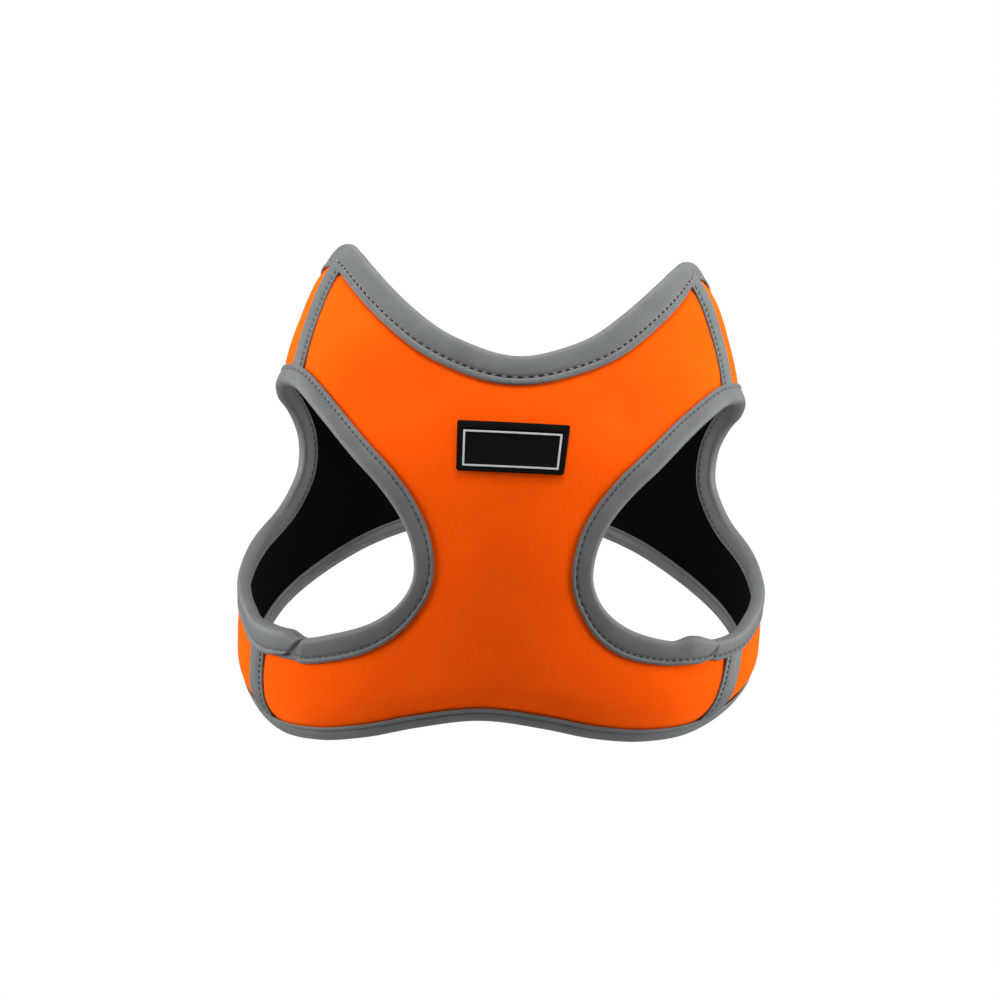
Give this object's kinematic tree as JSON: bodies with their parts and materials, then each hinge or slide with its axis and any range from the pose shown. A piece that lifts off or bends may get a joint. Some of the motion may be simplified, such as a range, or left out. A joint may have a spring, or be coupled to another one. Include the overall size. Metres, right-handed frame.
{
  "type": "dog vest harness",
  "caption": "Pull-on dog vest in soft padded knit with bound neck, armholes and hem, a bare rubber chest patch and a D-ring for a lead on the back.",
  "frame": {"origin": "on the axis of the wearer's body inside the vest, level with the middle of the armholes, where the body that fills the vest holds it up", "axes": "+Z from the hem to the neck, +Y from the chest to the back, +X to the right as the chest is seen"},
  "size_m": [0.2378, 0.1414, 0.2164],
  "materials": {
    "orange_knit": "smooth foam-backed knit, matt with a faint sheen",
    "black_knit": "fine black knit, matt",
    "grey_tape": "folded grey reflective tape, satin, stitched",
    "black_rubber": "soft moulded rubber, semi-matt",
    "pale_rubber": "moulded, semi-matt",
    "black_webbing": "woven nylon webbing, box stitched",
    "ring_steel": "nickel plated, welded, polished"
  },
  "bodies": {
    "vest": {"chest_panel": "orange_knit", "back_panel": "orange_knit", "chest_lining": "black_knit", "back_lining": "black_knit", "neck_binding": "grey_tape", "hem_binding": "grey_tape", "armhole_binding_left": "grey_tape", "armhole_binding_right": "grey_tape", "shoulder_tape_left": "grey_tape", "shoulder_tape_right": "grey_tape", "side_tape_left": "grey_tape", "side_tape_right": "grey_tape", "patch": "black_rubber", "patch_frame": "pale_rubber", "lead_tab": "black_webbing"},
    "ring": {"lead_ring": "ring_steel"}
  },
  "joints": [
    {"name": "ring_swing", "type": "hinge", "parent": "vest", "child": "ring", "pos_m": [0.00392, 0.06327, 0.02421], "axis": [0.9994, -0.0027, -0.0356], "range_deg": [0, 150]}
  ]
}
